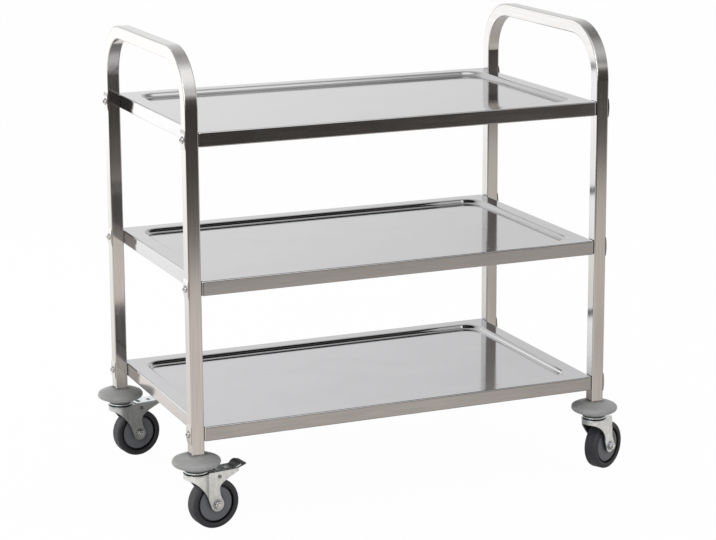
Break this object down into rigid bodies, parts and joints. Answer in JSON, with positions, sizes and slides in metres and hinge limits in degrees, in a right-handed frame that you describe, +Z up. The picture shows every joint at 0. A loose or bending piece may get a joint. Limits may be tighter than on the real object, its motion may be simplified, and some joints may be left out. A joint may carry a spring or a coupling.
{
  "type": "serving cart",
  "caption": "Serving cart with two bent square-tube end frames, dished tray shelves bolted between them, and swivel casters with round bumpers, some with foot brakes.",
  "frame": {"origin": "on the floor, midway between the four legs", "axes": "+X along the shelves to the end without brakes, +Y from front to back, +Z up"},
  "size_m": [0.9459, 0.59, 0.885],
  "materials": {
    "stainless_steel": "bright polished stainless steel",
    "zinc_steel": "bright zinc plated pressed steel",
    "plug_plastic": "moulded",
    "bumper_rubber": "satin grey",
    "tyre_rubber": "satin, lightly worn",
    "hub_plastic": "moulded, satin",
    "pad_plastic": "moulded, satin"
  },
  "bodies": {
    "base": {"left_frame": "stainless_steel", "right_frame": "stainless_steel", "bottom_shelf": "stainless_steel", "middle_shelf": "stainless_steel", "top_shelf": "stainless_steel", "bottom_stiffener": "stainless_steel", "middle_stiffener": "stainless_steel", "top_stiffener": "stainless_steel", "bottom_shelf_nuts": "zinc_steel", "middle_shelf_nuts": "zinc_steel", "top_shelf_nuts": "zinc_steel", "bottom_shelf_bolts": "stainless_steel", "middle_shelf_bolts": "stainless_steel", "top_shelf_bolts": "stainless_steel", "bottom_saddle_plates": "stainless_steel", "middle_saddle_plates": "stainless_steel", "top_saddle_plates": "stainless_steel", "front_left_plug": "plug_plastic", "front_left_bumper": "bumper_rubber", "front_left_head": "zinc_steel", "front_right_plug": "plug_plastic", "front_right_bumper": "bumper_rubber", "front_right_head": "zinc_steel", "rear_left_plug": "plug_plastic", "rear_left_bumper": "bumper_rubber", "rear_left_head": "zinc_steel", "rear_right_plug": "plug_plastic", "rear_right_bumper": "bumper_rubber", "rear_right_head": "zinc_steel"},
    "front_left_swivel": {"front_left_balls": "zinc_steel", "front_left_fork": "zinc_steel", "front_left_axle": "zinc_steel", "front_left_nut": "zinc_steel", "front_left_brake_pin": "zinc_steel"},
    "front_left_wheel": {"front_left_tyre": "tyre_rubber", "front_left_hub": "hub_plastic"},
    "front_right_swivel": {"front_right_balls": "zinc_steel", "front_right_fork": "zinc_steel", "front_right_axle": "zinc_steel", "front_right_nut": "zinc_steel"},
    "front_right_wheel": {"front_right_tyre": "tyre_rubber", "front_right_hub": "hub_plastic"},
    "rear_left_swivel": {"rear_left_balls": "zinc_steel", "rear_left_fork": "zinc_steel", "rear_left_axle": "zinc_steel", "rear_left_nut": "zinc_steel", "rear_left_brake_pin": "zinc_steel"},
    "rear_left_wheel": {"rear_left_tyre": "tyre_rubber", "rear_left_hub": "hub_plastic"},
    "rear_right_swivel": {"rear_right_balls": "zinc_steel", "rear_right_fork": "zinc_steel", "rear_right_axle": "zinc_steel", "rear_right_nut": "zinc_steel"},
    "rear_right_wheel": {"rear_right_tyre": "tyre_rubber", "rear_right_hub": "hub_plastic"},
    "front_left_brake": {"front_left_brake_lever": "zinc_steel", "front_left_brake_pad": "pad_plastic"},
    "rear_left_brake": {"rear_left_brake_lever": "zinc_steel"}
  },
  "joints": [
    {"name": "front_left_swivel_turn", "type": "hinge", "parent": "base", "child": "front_left_swivel", "pos_m": [-0.4125, -0.2325, 0.1105], "axis": [0, 0, 1], "continuous": true},
    {"name": "front_left_wheel_spin", "type": "hinge", "parent": "front_left_swivel", "child": "front_left_wheel", "pos_m": [-0.37982, -0.22791, 0.047], "axis": [-0.1392, 0.9903, 0], "continuous": true},
    {"name": "front_right_swivel_turn", "type": "hinge", "parent": "base", "child": "front_right_swivel", "pos_m": [0.4125, -0.2325, 0.1105], "axis": [0, 0, 1], "continuous": true},
    {"name": "front_right_wheel_spin", "type": "hinge", "parent": "front_right_swivel", "child": "front_right_wheel", "pos_m": [0.4419, -0.21752, 0.047], "axis": [-0.454, 0.891, 0], "continuous": true},
    {"name": "rear_left_swivel_turn", "type": "hinge", "parent": "base", "child": "rear_left_swivel", "pos_m": [-0.4125, 0.2325, 0.1105], "axis": [0, 0, 1], "continuous": true},
    {"name": "rear_left_wheel_spin", "type": "hinge", "parent": "rear_left_swivel", "child": "rear_left_wheel", "pos_m": [-0.37982, 0.23709, 0.047], "axis": [-0.1392, 0.9903, 0], "continuous": true},
    {"name": "rear_right_swivel_turn", "type": "hinge", "parent": "base", "child": "rear_right_swivel", "pos_m": [0.4125, 0.2325, 0.1105], "axis": [0, 0, 1], "continuous": true},
    {"name": "rear_right_wheel_spin", "type": "hinge", "parent": "rear_right_swivel", "child": "rear_right_wheel", "pos_m": [0.4125, 0.2655, 0.047], "axis": [-1, 0, 0], "continuous": true},
    {"name": "front_left_brake_press", "type": "hinge", "parent": "front_left_swivel", "child": "front_left_brake", "pos_m": [-0.37487, -0.22721, 0.1], "axis": [-0.1392, 0.9903, 0], "range_deg": [0, 10]},
    {"name": "rear_left_brake_press", "type": "hinge", "parent": "rear_left_swivel", "child": "rear_left_brake", "pos_m": [-0.37487, 0.23779, 0.1], "axis": [-0.1392, 0.9903, 0], "range_deg": [0, 10]}
  ]
}
